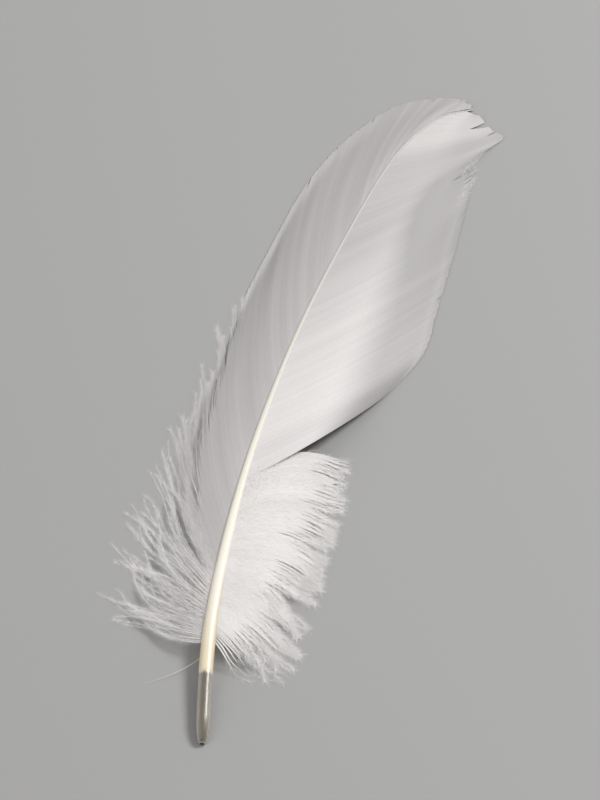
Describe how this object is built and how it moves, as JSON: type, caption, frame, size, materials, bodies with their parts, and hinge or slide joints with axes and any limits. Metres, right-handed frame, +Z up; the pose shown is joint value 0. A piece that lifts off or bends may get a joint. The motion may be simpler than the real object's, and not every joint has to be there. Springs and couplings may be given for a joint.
{
  "type": "goose quill feather",
  "caption": "White goose feather lying hollow side down: bare quill, tapering arched shaft, narrow and broad vane with a split, and loose down at its base.",
  "frame": {"origin": "centre of the feather's box on the flat surface that it lies on", "axes": "+Y along the shaft, from the end of the quill to the feather's tip; +X to the feather's right, where its broad vane is; +Z up, out of its outer side"},
  "size_m": [0.032, 0.1166, 0.0054],
  "materials": {
    "quill": "satin",
    "vane": "matte",
    "down": "matte"
  },
  "bodies": {
    "root": {"shaft": "quill", "left_vane": "vane", "right_vane": "vane", "left_down": "down", "right_down": "down"}
  },
  "joints": []
}
